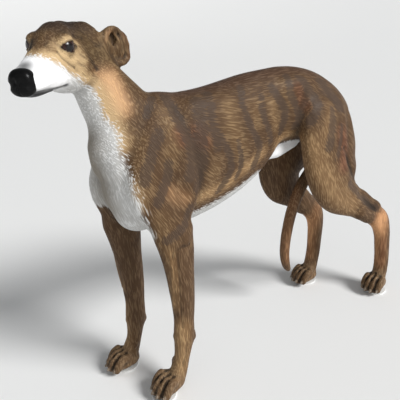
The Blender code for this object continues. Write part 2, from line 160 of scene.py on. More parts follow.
def ball(bm, centre, radii, turn=None):
    """An ellipsoid at a place."""
    place = Matrix.Translation(centre) @ (turn or Matrix.Identity(4)) @ Matrix.Diagonal((*radii, 1))
    bmesh.ops.create_uvsphere(bm, u_segments=24, v_segments=16, radius=1, matrix=place)


def eye_axes(side):
    """Forward, up and outward of one eye, in the head's axes."""
    outward = Vector((EYE_OUTWARD.x, side * EYE_OUTWARD.y, EYE_OUTWARD.z))
    forward = (Vector((1, 0, 0)) - outward * outward.x).normalized()
    upward = forward.cross(outward) * side
    return forward, upward, outward


# Upper and lower lid at their most open, how far ahead the inner corner lies, the whole length and
# the slant, all as shares of the eyeball's radius
LID_RISES = (0.62, -0.56)
LID_FRONT = 1.06
LID_LENGTH = 2.62
LID_SLANT = 0.04


def lid_height(share):
    """How far the lids stand apart along the eye, as a share of the most."""
    return np.sin(math.pi * np.clip(share, 0, 1) ** 0.85)


def lid_path(side, rise):
    """The edge of an upper or a lower lid, from the inner corner to the outer one."""
    forward, upward, outward = eye_axes(side)
    path = []
    for k in range(11):
        share = k / 10
        across = LID_FRONT - LID_LENGTH * share
        lift = rise * lid_height(share)
        out = math.sqrt(max(0.10, 1 - across**2 - lift**2))
        place = forward * across + upward * (lift + LID_SLANT * across) + outward * out
        path.append(EYES[side] + place * EYE_RADIUS)
    return path


def ear_axes(side):
    """Toward the dog's tail, up, and out of the hollow of an ear, in the head's axes."""
    rearward = Vector((-math.sin(EAR_SWEEP), side * math.cos(EAR_SWEEP), 0))
    outward = Vector((math.cos(EAR_SWEEP), side * math.sin(EAR_SWEEP), 0))
    return rearward, Vector((0, 0, 1)), outward


def ear_point(side, *place):
    return EARS[side] + sum((axis * share for axis, share in zip(ear_axes(side), place)), Vector())


# Rims and folds of an ear: girth, then how far back, up and out each place is from the ear's middle
EAR_ROLLS = [
    (0.008, [
        (-0.042, 0.026, 0.002), (-0.03, 0.04, 0.006), (-0.012, 0.049, 0.01), (0.008, 0.045, 0.008),
        (0.024, 0.032, 0.005),
    ]),
    (0.007, [
        (0.024, 0.032, 0.005), (0.035, 0.01, 0.003), (0.041, -0.014, 0.003), (0.037, -0.034, 0.007),
        (0.017, -0.043, 0.012),
    ]),
    (0.0085, [
        (0.036, -0.026, 0.006), (0.028, -0.037, 0.012), (0.012, -0.042, 0.014), (-0.008, -0.036, 0.012),
        (-0.03, -0.026, 0.006),
    ]),
    (0.0085, [
        (-0.014, 0.046, 0.01), (-0.025, 0.036, 0.013), (-0.034, 0.022, 0.013), (-0.04, 0.006, 0.011),
        (-0.042, -0.014, 0.006),
    ]),
    (0.0052, [
        (-0.006, 0.038, 0.012), (0.007, 0.02, 0.013), (0.008, 0.003, 0.014), (-0.004, -0.013, 0.014),
        (-0.012, -0.028, 0.012),
    ]),
    (0.0045, [
        (-0.024, 0.022, 0.014), (-0.017, 0.006, 0.015), (-0.016, -0.008, 0.015),
        (-0.022, -0.024, 0.012),
    ]),
    (0.0042, [
        (0.018, 0.026, 0.008), (0.024, 0.004, 0.009), (0.02, -0.018, 0.011), (0.008, -0.032, 0.012),
    ]),
    (0.0034, [(0.0, 0.016, 0.013), (-0.006, 0.002, 0.014), (-0.012, -0.01, 0.014)]),
    (0.0034, [(0.014, 0.01, 0.01), (0.013, -0.008, 0.012), (0.002, -0.024, 0.013)]),
]


def face_forms(bm):
    """Eyelids, ear rims and ear folds of both sides, and the front lobes of the ears."""
    face = bmesh.new()
    for side in (1, -1):
        for rise, girth in zip(LID_RISES, (0.0042, 0.0036)):
            path = smooth_path(lid_path(side, rise), 2)
            last = len(path) - 1
            tube(face, path, [girth * (0.5 + 0.5 * math.sin(math.pi * k / last)) for k in range(last + 1)])
        for girth, places in EAR_ROLLS:
            path = smooth_path([ear_point(side, *place) for place in places])
            last = len(path) - 1
            tube(face, path, [girth * (0.6 + 0.4 * math.sin(math.pi * k / last)) for k in range(last + 1)])
        turn = Matrix(ear_axes(side)).transposed().to_4x4()
        ball(face, ear_point(side, -0.034, 0.010, -0.004), (0.014, 0.034, 0.010), turn)
    bmesh.ops.recalc_face_normals(face, faces=face.faces)
    bmesh.ops.transform(face, matrix=HEAD_TO_DOG, verts=face.verts)
    pour(face, bm)


def body_forms(bm):
    """The sheath under the belly."""
    body = bmesh.new()
    path = [(0.508, 0, 0.707), (0.52, 0, 0.709), (0.56, 0, 0.717), (0.63, 0, 0.734)]
    girths = np.interp(np.arange(13), [0, 2, 5, 12], [0.012, 0.022, 0.027, 0.024])
    tube(body, smooth_path(path), girths, 16)
    pour(body, bm)


def paw_forms(bm):
    """Claws on every toe, and a dewclaw inside each foreleg."""
    for name, ((x, y), turn) in PAWS.items():
        paw = bmesh.new()
        for across, reach in TOES:
            claw = [
                (-reach - 0.004, across * 1.04, 0.03),
                (-reach - 0.012, across * 1.06, 0.025),
                (-reach - 0.019, across * 1.07, 0.014),
            ]
            tube(paw, claw, [0.0056, 0.0045, 0.0022], sides=8)
        place = Matrix.Translation((x, y, 0.005)) @ Matrix.Rotation(turn, 4, "Z")
        bmesh.ops.transform(paw, matrix=place, verts=paw.verts)
        pour(paw, bm)
        if name.startswith("front"):
            inward = -math.copysign(1, y)
            dewclaw = [
                (x + 0.048, y + inward * 0.02, 0.112),
                (x + 0.04, y + inward * 0.03, 0.098),
                (x + 0.03, y + inward * 0.032, 0.086),
            ]
            tube(bm, dewclaw, [0.010, 0.009, 0.004])


def pour(source, target):
    """Adds one bmesh to another."""
    mesh = mesh_from(source, "forms")
    target.from_mesh(mesh)
    bpy.data.meshes.remove(mesh)


# The skin


def points_of(mesh, what="co"):
    """The places of the vertices, or their normals."""
    flat = np.empty(3 * len(mesh.vertices))
    mesh.vertices.foreach_get(what, flat)
    return flat.reshape(-1, 3)


def set_points(mesh, points):
    mesh.vertices.foreach_set("co", points.ravel())
    mesh.update()


def neighbours(mesh):
    """A function that gives the middle of each vertex's neighbours, for any values on the vertices."""
    edges = np.empty(2 * len(mesh.edges), int)
    mesh.edges.foreach_get("vertices", edges)
    a, b = edges.reshape(-1, 2).T
    ends, others = np.concatenate([a, b]), np.concatenate([b, a])
    count = np.bincount(ends, minlength=len(mesh.vertices))[:, None]

    def middle(values):
        sums = [np.bincount(ends, values[others, k], len(values)) for k in range(values.shape[1])]
        return np.stack(sums, 1) / count

    return middle


def smoothed(middle, values, rounds, weights=1.0):
    """The values spread over the surface that many times."""
    for _ in range(rounds):
        values = values + 0.5 * weights * (middle(values) - values)
    return values


def fade(distance, reach):
    """One at no distance, falling smoothly to nothing at the reach."""
    return np.clip(1 - (distance / reach) ** 2, 0, 1) ** 2


def line_distance(points, path):
    """How far each point is from a line through the path's points."""
    path = [np.array(p, float) for p in path]
    nearest = np.linalg.norm(points - path[0], axis=1)
    for start, end in zip(path, path[1:]):
        along = end - start
        share = np.clip((points - start) @ along / (along @ along), 0, 1)
        nearest = np.minimum(nearest, np.linalg.norm(points - start - share[:, None] * along, axis=1))
    return nearest


def near(points, path, reach):
    """One on a line through the places, falling smoothly to nothing at the reach."""
    return fade(line_distance(points, path), reach)


def on_head(path):
    """Places in the head's axes, as places on the dog."""
    return [HEAD_TO_DOG @ Vector(place) for place in path]


def on_ears(rows):
    """The rows for each ear in turn, their places in its axes made places on the dog."""
    turns = [(side, row) for side in (1, -1) for row in rows]
    return [(*row[:-1], on_head(ear_point(side, *place) for place in row[-1])) for side, row in turns]


# The grain that the skin is first made at, and the triangles that it is brought down to
SKIN_GRAIN = 0.00072
MOST_TRIANGLES = 192000


def settle(piece):
    """Makes the mesh what its modifiers make of it."""
    bpy.context.view_layer.update()
    finished = piece.evaluated_get(bpy.context.evaluated_depsgraph_get())
    piece.data = bpy.data.meshes.new_from_object(finished)
    piece.modifiers.clear()


def dog_skin():
    """The casting's solid and the finer forms under one close skin, in the dog's own measures."""
    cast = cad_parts["greyhound"]
    bm = bmesh.new()
    bm.from_mesh(cast.data)
    bmesh.ops.transform(bm, matrix=DOG_TO_TABLE.inverted(), verts=bm.verts)
    bmesh.ops.remove_doubles(bm, verts=bm.verts, dist=1e-5)
    face_forms(bm)
    body_forms(bm)
    paw_forms(bm)
    bmesh.ops.triangulate(bm, faces=bm.faces)
    dog = put("painted_casting", mesh_from(bm, "skin"))
    remesh = dog.modifiers.new("Skin", "REMESH")
    remesh.mode = "VOXEL"
    remesh.voxel_size = SKIN_GRAIN / WITHERS
    settle(dog)
    return dog


dog = dog_skin()


def soften(mesh):
    """Takes the casting's facets off the body, and only the grain off the face and the paws."""
    middle = neighbours(mesh)
    points = points_of(mesh)
    head = fade(np.linalg.norm(points - np.array(EYE_LEVEL), axis=1), 0.30)
    ear = np.array(HEAD_TO_DOG @ EARS[1])
    fine = np.clip(2.2 * head + 3 * fade(np.linalg.norm(points - ear, axis=1), 0.10), 0, 1)
    fine = np.maximum(fine, np.clip((0.11 - points[:, 2]) / 0.03, 0, 1))
    weights = (1 - 0.88 * fine)[:, None]
    once = smoothed(middle, points, 40, weights)
    set_points(mesh, once + smoothed(middle, points - once, 40, weights))


soften(dog.data)

# How the right legs stand: at each height, how far they are moved along the body and toward its middle
FORELEG_STANCE = [
    (0.0, -0.08, 0.0), (0.6, -0.08, 0.0), (0.75, -0.04, 0.0), (1.0, 0.0, 0.0),
]
HINDLEG_STANCE = [
    (0.0, -0.178, 0.06), (0.17, -0.17, 0.042), (0.35, -0.141, 0.028), (0.65, -0.042, 0.0),
    (0.9, 0, 0),
]


# The lie of the hair: its slope below level in degrees, at places along and above the body
COAT_LIES = [
    (4, 0.2, 0.97), (4, 0.4, 0.96), (6, 0.55, 0.96), (28, 0.72, 0.93), (45, 0.82, 0.86),
    (12, 0.25, 0.84), (8, 0.4, 0.82), (10, 0.52, 0.84), (4, 0.25, 0.68), (6, 0.45, 0.74),
    (0, 0.3, 0.6), (42, 0.08, 0.95), (50, 0.12, 0.85), (56, 0.04, 0.78), (60, 0.08, 0.68),
    (66, 0.0, 0.62), (40, 0.18, 0.72), (72, -0.03, 0.98), (76, -0.07, 1.06), (64, -0.03, 0.88),
    (60, 0.01, 0.92), (30, -0.16, 1.0), (34, -0.13, 0.93), (44, -0.12, 0.85), (68, -0.14, 0.76),
    (74, -0.12, 0.66), (84, 0.0, 0.54), (88, 0.0, 0.3), (86, -0.03, 0.08), (84, -0.08, 0.5),
    (88, -0.08, 0.2), (70, 0.63, 0.76), (48, 0.74, 0.74), (36, 0.68, 0.86), (72, 0.64, 0.62),
    (52, 0.78, 0.58), (44, 0.88, 0.46), (84, 0.98, 0.32), (88, 0.97, 0.1), (76, 0.62, 0.5),
    (86, 0.61, 0.32), (86, 0.8, 0.25), (86, 0.79, 0.08),
]
LIE_STEP = 15
LIE_COUNT = 7


def far_side(path, stance=((0, 0, 0),)):
    """The same places on the dog's right, where the leg there stands."""
    heights, leads, pulls = zip(*stance)
    return [(x + np.interp(z, heights, leads), -y - np.interp(z, heights, pulls), z) for x, y, z in path]


def near_either(points, path, reach, stance=((0, 0, 0),), into=list):
    """How near each point is to the line on the dog's left, or to the same line on its right."""
    return np.maximum(*(near(points, into(p), reach) for p in (path, far_side(path, stance))))


# Relief: how far each line stands out, or is cut in where below nothing, then its reach and its places
MOUTH = [
    (0.166, 0.004, -0.085), (0.157, 0.015, -0.086), (0.143, 0.021, -0.088), (0.123, 0.025, -0.089),
    (0.098, 0.028, -0.09), (0.064, 0.028, -0.092), (0.031, 0.03, -0.092), (0.006, 0.033, -0.091),
]
HEAD_RELIEF = [
    (0.005, 0.045, [(0.02, 0.01, 0.032), (-0.02, 0.012, 0.044)]),
    (-0.0045, 0.03, [(-0.076, 0.01, 0.046)]),
    (0.014, 0.04, [(-0.128, 0.04, 0.033), (-0.14, 0.053, 0.022)]),
    (-0.019, 0.04, [(0.168, 0.0, -0.05), (0.17, 0.0, -0.084)]),
    (-0.0035, 0.007, MOUTH),
    (0.0025, 0.012, [(0.14, 0.026, -0.074), (0.098, 0.032, -0.075), (0.05, 0.034, -0.074)]),
    (-0.0018, 0.007, [
        (0.044, 0.036, -0.01), (0.036, 0.042, -0.024), (0.011, 0.049, -0.04), (-0.01, 0.053, -0.05),
    ]),
    (-0.0015, 0.01, [(0.036, 0.012, 0.022), (0.056, 0.015, 0.004), (0.066, 0.022, -0.008)]),
    (-0.0022, 0.014, [
        (-0.065, 0.058, 0.0), (-0.073, 0.064, -0.02), (-0.085, 0.068, -0.04), (-0.097, 0.076, -0.061),
    ]),
    (0.003, 0.014, [(0.03, 0.034, 0.018), (0.012, 0.045, 0.027), (-0.022, 0.048, 0.026)]),
    (-0.0012, 0.007, [(-0.02, 0.058, -0.04), (-0.05, 0.062, -0.052), (-0.072, 0.066, -0.06)]),
    (-0.0012, 0.007, [(-0.012, 0.056, -0.056), (-0.04, 0.061, -0.07), (-0.062, 0.064, -0.08)]),
    (-0.0012, 0.007, [(-0.036, 0.06, -0.022), (-0.06, 0.063, -0.034)]),
    (-0.0025, 0.007, [(-0.12, 0.074, -0.04), (-0.128, 0.078, -0.07), (-0.124, 0.076, -0.095)]),
    (-0.004, 0.018, [(-0.044, 0.048, 0.022), (-0.07, 0.052, 0.016)]),
]
BODY_RELIEF = [
    (0.012, 0.056, [(-0.152, -0.01, 0.85), (-0.147, 0.012, 0.822), (-0.14, 0.03, 0.8)]),
    (-0.002, 0.012, [
        (-0.012, -0.131, 0.512), (0.0, -0.138, 0.538), (0.026, -0.142, 0.549), (0.055, -0.14, 0.55),
    ]),
    (0.003, 0.009, [
        (-0.013, -0.133, 0.532), (-0.009, -0.131, 0.48), (-0.008, -0.118, 0.4), (-0.007, -0.11, 0.33),
    ]),
    (-0.002, 0.009, [
        (0.008, -0.141, 0.53), (0.01, -0.138, 0.44), (0.01, -0.128, 0.35), (0.012, -0.124, 0.25),
    ]),
    (0.004, 0.018, [(0.04, -0.14, 0.59), (0.048, -0.14, 0.56)]),
    (0.005, 0.016, [(0.056, -0.108, 0.2), (0.056, -0.112, 0.186)]),
    (0.003, 0.014, [(-0.012, -0.092, 0.205), (-0.014, -0.112, 0.188)]),
    (-0.0025, 0.01, [(0.018, -0.126, 0.19), (0.012, -0.13, 0.14), (-0.004, -0.126, 0.1)]),
]
HINDLEG_RELIEF = [
    (0.017, 0.052, [(0.905, -0.15, 0.505), (0.955, -0.15, 0.46), (0.975, -0.15, 0.435)]),
    (0.012, 0.045, [(0.86, -0.15, 0.405), (0.905, -0.15, 0.37)]),
    (-0.004, 0.018, [
        (0.745, -0.141, 0.703), (0.769, -0.139, 0.651), (0.791, -0.143, 0.6), (0.838, -0.14, 0.54),
    ]),
    (-0.0042, 0.028, [(0.842, -0.147, 0.505), (0.894, -0.15, 0.452), (0.94, -0.153, 0.412)]),
    (0.0034, 0.018, [(0.88, -0.14, 0.51), (0.93, -0.145, 0.45), (0.985, -0.15, 0.39)]),
    (-0.003, 0.018, [(0.632, -0.09, 0.76), (0.6, -0.108, 0.802), (0.6, -0.112, 0.836)]),
    (0.004, 0.018, [(1.004, -0.158, 0.366), (1.008, -0.16, 0.34)]),
    (-0.0035, 0.01, [(0.96, -0.172, 0.33), (0.975, -0.176, 0.28), (0.972, -0.176, 0.2)]),
    (0.003, 0.012, [(0.945, -0.16, 0.31), (0.94, -0.16, 0.24), (0.936, -0.16, 0.16)]),
    (-0.0014, 0.024, [(0.7, -0.155, 0.56), (0.76, -0.157, 0.5), (0.83, -0.155, 0.44)]),
]


EAR_RELIEF = [
    (-0.004, 0.0105, [(0.006, 0.032, 0.006), (0.018, 0.014, 0.006), (0.019, -0.008, 0.006)]),
    (-0.0036, 0.0085, [(-0.026, 0.014, 0.008), (-0.029, 0.0, 0.008), (-0.028, -0.016, 0.008)]),
    (-0.0042, 0.007, [(-0.008, 0.018, 0.01), (-0.01, 0.004, 0.01), (-0.01, -0.016, 0.01)]),
    (-0.0036, 0.008, [(0.03, 0.02, 0.006), (0.031, 0.0, 0.006), (0.024, -0.022, 0.008)]),
    (-0.01, 0.011, [
        (-0.044, 0.044, -0.004), (-0.049, 0.03, 0.0), (-0.052, 0.01, 0.0), (-0.05, -0.016, 0.0),
        (-0.038, -0.036, 0.002),
    ]),
]


def standing_out(points, rows, stance=((0, 0, 0),), into=list):
    """How far the lines lift the skin at each point, on the dog's left side and on its right."""
    lift = np.zeros(len(points))
    for height, reach, path in rows:
        lift += height * near_either(points, path, reach, stance, into)
    return lift


def open_eyes(points):
    """Sinks the skin between the lids behind the eyeballs."""
    here = HEAD_TO_DOG.inverted()
    in_head = points @ np.array(here.to_3x3()).T + np.array(here.translation)
    for side in (1, -1):
        axes = np.array(eye_axes(side))
        across, lift, out = ((in_head - np.array(EYES[side])) / EYE_RADIUS @ axes.T).T
        height = lid_height((LID_FRONT - across) / LID_LENGTH)
        lift = lift - LID_SLANT * across
        gap = np.minimum(LID_RISES[0] * height - lift, lift - LID_RISES[1] * height) - 0.05
        sunk = (gap > 0) & (out > 0)
        depth = np.sqrt(np.clip(1 - across**2 - lift**2, 0.02, 1)) - 0.25
        out = np.where(sunk, np.minimum(out, depth), out)
        moved = np.stack([across, lift + LID_SLANT * across, out], 1) @ axes * EYE_RADIUS
        moved = moved + np.array(EYES[side])
        in_head = np.where(sunk[:, None], moved, in_head)
    return in_head @ np.array(HEAD_TO_DOG.to_3x3()).T + np.array(HEAD_TO_DOG.translation)


def toe_lines():
    """Grooves between the toes and bumps on their knuckles, for every paw."""
    rows = []
    for (x, y), turn in PAWS.values():
        place = Matrix.Translation((x, y, 0)) @ Matrix.Rotation(turn, 4, "Z")
        for across in (-0.0225, 0.0, 0.0225):
            groove = [
                (-0.008, across * 0.8, 0.086),
                (-0.036, across, 0.064),
                (-0.056, across * 1.05, 0.034),
                (-0.062, across, 0.012),
            ]
            rows.append((-0.0065, 0.0085, [place @ Vector(p) for p in groove]))
        for across, reach in TOES:
            for back, height, lift in ((0.034, 0.070, 0.0045), (0.010, 0.048, 0.0040)):
                top = place @ Vector((back - reach, across * 1.02, height))
                front = place @ Vector((back - reach - 0.006, across * 1.04, height - 0.006))
                rows.append((lift, 0.013, [top, front]))
    return rows


def carve(mesh):
    """Cuts the mouth, wrinkles, tendons and toes into the skin."""
    points = points_of(mesh)
    lift = standing_out(points, HEAD_RELIEF, into=on_head)
    lift += standing_out(points, BODY_RELIEF, FORELEG_STANCE)
    lift += standing_out(points, HINDLEG_RELIEF, HINDLEG_STANCE)
    for height, reach, path in toe_lines() + on_ears(EAR_RELIEF):
        lift += height * near(points, path, reach)
    set_points(mesh, open_eyes(points + points_of(mesh, "normal") * lift[:, None]))


carve(dog.data)


# Darkening in the hollows: a dark wash in the grooves and painted shade there, in one
# Hollows: the rounds of smoothing that show one, and how strongly its depth then counts
HOLLOWS = [(2, 1800), (16, 500)]
# How much of them the eyes and the ears are spared, and how far round each
SPARED_EYE = (0.85, 0.06)
SPARED_EAR = (0.6, 0.09)


def hollows(mesh):
    """How deep each vertex lies between its neighbours, from nothing to one."""
    points = points_of(mesh)
    middle = neighbours(mesh)
    normals = points_of(mesh, "normal")
    deep = np.zeros(len(points))
    for rounds, gain in HOLLOWS:
        deep = deep + gain * np.sum((smoothed(middle, points, rounds) - points) * normals, axis=1)
    deep = np.clip(smoothed(middle, deep[:, None], 1)[:, 0], 0, 1)
    for side in (1, -1):
        for place, (share, reach) in ((EYES[side], SPARED_EYE), (EARS[side], SPARED_EAR)):
            gap = np.linalg.norm(points - np.array(HEAD_TO_DOG @ place), axis=1)
            deep *= 1 - share * fade(gap, reach)
    return deep


def thin_out(piece):
    """Merges triangles where the skin is flattest, and gives the hollows at the vertices that stay."""
    deep = hollows(piece.data)
    tree = KDTree(len(deep))
    for index, point in enumerate(points_of(piece.data)):
        tree.insert(point, index)
    tree.balance()
    thin = piece.modifiers.new("Thin", "DECIMATE")
    thin.ratio = MOST_TRIANGLES / (2 * len(piece.data.polygons))
    settle(piece)
    return deep[[tree.find(point)[1] for point in points_of(piece.data)]]


deep = thin_out(dog)


# Paint: each stroke is a colour as the eye sees it (red, green, blue out of 255), its strength, its
# reach, and the places that it runs through
BROWN = (115, 92, 69)
HEAD_BROWN = (124, 102, 76)
BACK_BROWN = (104, 82, 69)
SAND = (150, 124, 92)
TAN = (188, 156, 115)
CREAM = (216, 187, 144)
PEACH = (222, 178, 134)
RUST = (132, 90, 68)
BRICK = (190, 144, 106)
HOCK = (228, 172, 124)
CROWN_GREY = (78, 64, 54)
PAW_GREY = (182, 156, 124)
CLAW = (168, 158, 146)
STRIPE = (74, 60, 50)
OLIVE = (108, 90, 64)

BODY_PAINT = [
    (BACK_BROWN, 0.75, 0.075, [
        (0.1, 0, 0.99), (0.3, 0, 0.99), (0.5, 0, 0.99), (0.7, 0, 0.96), (0.84, 0, 0.88),
    ]),
    (SAND, 0.85, 0.05, [(0.27, -0.095, 0.93), (0.262, -0.105, 0.86), (0.3, -0.1, 0.78)]),
    (SAND, 0.85, 0.034, [(0.365, -0.09, 0.92), (0.372, -0.095, 0.85)]),
    (SAND, 0.9, 0.036, [(0.438, -0.085, 0.92), (0.462, -0.085, 0.83)]),
    (SAND, 0.8, 0.034, [(0.495, -0.07, 0.96), (0.53, -0.085, 0.9)]),
    (RUST, 0.55, 0.04, [(0.56, -0.085, 0.94), (0.59, -0.09, 0.88)]),
    (SAND, 0.8, 0.04, [(0.045, -0.08, 0.94), (0.05, -0.105, 0.87), (0.03, -0.11, 0.8)]),
    (SAND, 0.7, 0.04, [(0.19, -0.108, 0.76), (0.175, -0.1, 0.7)]),
    (TAN, 0.6, 0.1, [
        (0.604, -0.12, 0.73), (0.63, -0.138, 0.64), (0.7, -0.15, 0.54), (0.79, -0.155, 0.47),
    ]),
    (TAN, 0.6, 0.05, [(0.7, -0.13, 0.86), (0.672, -0.135, 0.78)]),
    (TAN, 0.8, 0.06, [(0.5, -0.05, 0.76), (0.56, -0.06, 0.76)]),
    (TAN, 0.85, 0.042, [
        (0.129, -0.094, 0.66), (0.245, -0.091, 0.68), (0.312, -0.091, 0.712), (0.4, -0.08, 0.75),
    ]),
    (RUST, 0.7, 0.045, [(0.134, -0.105, 0.875), (0.148, -0.111, 0.845)]),
    (RUST, 0.6, 0.034, [(0.072, -0.104, 0.885), (0.08, -0.105, 0.86)]),
    (RUST, 0.75, 0.05, [(0.74, -0.13, 0.76), (0.745, -0.145, 0.69), (0.735, -0.15, 0.64)]),
    (BRICK, 0.4, 0.04, [
        (0.66, 0.028, 0.52), (0.619, 0.021, 0.418), (0.602, 0.018, 0.289), (0.606, 0.015, 0.22),
    ]),
    (PEACH, 0.42, 0.04, [(0.02, -0.121, 0.725), (0.041, -0.123, 0.702), (0.06, -0.123, 0.689)]),
    (SAND, 0.7, 0.06, [(-0.03, -0.13, 0.64), (-0.03, -0.125, 0.56)]),
    (PEACH, 0.9, 0.058, [(-0.092, -0.036, 1.06), (-0.083, -0.046, 1.02), (-0.077, -0.055, 0.98)]),
    (CREAM, 0.9, 0.058, [(-0.132, -0.045, 1.01), (-0.112, -0.058, 0.945), (-0.098, -0.073, 0.885)]),
    (SAND, 0.65, 0.05, [(-0.05, -0.08, 0.88), (-0.062, -0.1, 0.8), (-0.062, -0.11, 0.74)]),
    (CREAM, 0.55, 0.04, [(-0.086, -0.1, 0.76), (-0.085, -0.11, 0.7)]),
]
FORELEG_PAINT = [
    (TAN, 0.8, 0.055, [(0.004, -0.125, 0.25), (-0.002, -0.123, 0.149), (-0.02, -0.118, 0.09)]),
    (TAN, 0.6, 0.03, [(-0.013, -0.133, 0.532), (-0.009, -0.131, 0.45), (-0.007, -0.115, 0.33)]),
    (PAW_GREY, 0.8, 0.085, [(-0.05, -0.104, 0.04)]),
]
HINDLEG_PAINT = [
    (HOCK, 0.88, 0.08, [(0.985, -0.155, 0.35), (0.965, -0.155, 0.26), (0.96, -0.155, 0.15)]),
    (RUST, 0.55, 0.03, [(1.0, -0.165, 0.24), (1.0, -0.16, 0.13)]),
    (PAW_GREY, 0.8, 0.085, [(0.985, -0.152, 0.04)]),
]
FACE_PAINT = [
    (CROWN_GREY, 0.85, 0.066, [
        (-0.015, 0, 0.046), (-0.05, 0, 0.052), (-0.11, 0, 0.055), (-0.17, 0, 0.03),
    ]),
    (CROWN_GREY, 0.7, 0.04, [(-0.05, 0.03, 0.04), (-0.12, 0.045, 0.03)]),
    (CREAM, 0.8, 0.046, [(0.05, 0.036, -0.012), (0.008, 0.05, -0.018), (-0.04, 0.058, -0.035)]),
    (CREAM, 0.9, 0.024, [(0.042, 0.039, -0.015), (0.024, 0.047, -0.022), (0.001, 0.052, -0.028)]),
    (CREAM, 0.95, 0.034, [
        (0.09, 0.02, -0.012), (0.04, 0.04, -0.035), (0.0, 0.052, -0.055), (-0.05, 0.06, -0.082),
        (-0.095, 0.066, -0.105),
    ]),
    (CREAM, 0.8, 0.015, [
        (0.03, 0.04, 0.006), (0.014, 0.05, 0.018), (-0.012, 0.054, 0.016), (-0.034, 0.056, 0.006),
    ]),
    (BROWN, 0.75, 0.014, [(0.06, 0.01, 0.008), (0.03, 0.018, 0.024)]),
    (OLIVE, 0.8, 0.052, [(-0.078, 0.062, 0.004), (-0.105, 0.072, -0.028), (-0.135, 0.076, -0.052)]),
    (BROWN, 0.6, 0.012, [(0.056, 0.026, -0.002), (0.046, 0.03, -0.008)]),
    (PEACH, 0.75, 0.034, [(-0.14, 0.072, -0.102), (-0.16, 0.066, -0.122)]),
]
EAR_PAINT = [
    (PEACH, 0.9, 0.011, EAR_ROLLS[3][1]),
    (SAND, 0.7, 0.006, EAR_ROLLS[4][1]),
    (SAND, 0.7, 0.0055, EAR_ROLLS[5][1]),
    (SAND, 0.6, 0.0055, EAR_ROLLS[6][1]),
    (CROWN_GREY, 0.7, 0.012, EAR_ROLLS[0][1]),
    (RUST, 0.5, 0.012, EAR_ROLLS[1][1]),
]
# Dark bands of the brindle
BODY_BANDS = [
    (0.02, [
        (0.208, -0.057, 0.971), (0.191, -0.095, 0.917), (0.198, -0.109, 0.862), (0.197, -0.114, 0.817),
    ]),
    (0.017, [
        (0.336, -0.057, 0.97), (0.319, -0.085, 0.925), (0.328, -0.098, 0.879), (0.353, -0.1, 0.83),
    ]),
    (0.017, [
        (0.353, -0.1, 0.83), (0.383, -0.091, 0.78), (0.381, -0.087, 0.752), (0.363, -0.079, 0.71),
    ]),
    (0.017, [
        (0.402, -0.079, 0.937), (0.395, -0.089, 0.903), (0.403, -0.093, 0.861), (0.425, -0.09, 0.822),
        (0.436, -0.083, 0.783),
    ]),
    (0.019, [
        (0.453, -0.066, 0.962), (0.473, -0.082, 0.92), (0.505, -0.081, 0.88), (0.507, -0.077, 0.844),
        (0.494, -0.066, 0.797),
    ]),
    (0.019, [
        (0.53, -0.061, 0.981), (0.521, -0.086, 0.931), (0.55, -0.084, 0.885), (0.57, -0.081, 0.849),
        (0.559, -0.071, 0.809),
    ]),
    (0.024, [
        (0.577, -0.073, 0.972), (0.608, -0.08, 0.934), (0.638, -0.091, 0.895), (0.627, -0.112, 0.86),
        (0.59, -0.117, 0.823),
    ]),
    (0.034, [(0.693, -0.063, 0.939), (0.736, -0.081, 0.887), (0.753, -0.1, 0.854)]),
    (0.022, [(0.705, -0.117, 0.85), (0.69, -0.127, 0.779), (0.665, -0.137, 0.721)]),
    (0.012, [(0.741, -0.126, 0.787), (0.723, -0.138, 0.73), (0.699, -0.147, 0.673)]),
    (0.017, [
        (0.213, -0.111, 0.845), (0.248, -0.106, 0.778), (0.254, -0.102, 0.73), (0.235, -0.093, 0.694),
        (0.207, -0.085, 0.664),
    ]),
    (0.014, [
        (0.281, -0.107, 0.816), (0.295, -0.101, 0.767), (0.298, -0.092, 0.725), (0.284, -0.085, 0.691),
    ]),
    (0.017, [(0.027, -0.043, 0.984), (0.007, -0.06, 0.964), (-0.009, -0.069, 0.945)]),
    (0.022, [
        (0.014, -0.097, 0.895), (-0.004, -0.102, 0.87), (-0.025, -0.108, 0.841),
        (-0.042, -0.111, 0.811), (-0.057, -0.115, 0.775),
    ]),
    (0.024, [
        (0.072, -0.044, 0.978), (0.078, -0.077, 0.933), (0.093, -0.097, 0.888), (0.104, -0.108, 0.846),
        (0.101, -0.116, 0.792), (0.086, -0.124, 0.755),
    ]),
    (0.02, [
        (0.026, -0.11, 0.803), (0.013, -0.116, 0.763), (-0.013, -0.122, 0.729), (-0.03, -0.125, 0.703),
    ]),
    (0.03, [
        (0.159, -0.078, 0.955), (0.157, -0.099, 0.901), (0.136, -0.109, 0.84), (0.137, -0.109, 0.782),
        (0.114, -0.116, 0.716),
    ]),
    (0.018, [
        (0.08, -0.12, 0.655), (0.052, -0.13, 0.616), (0.014, -0.137, 0.597), (-0.019, -0.13, 0.58),
    ]),
    (0.02, [
        (0.77, -0.154, 0.56), (0.842, -0.151, 0.49), (0.915, -0.148, 0.428), (0.95, -0.153, 0.405),
    ]),
]
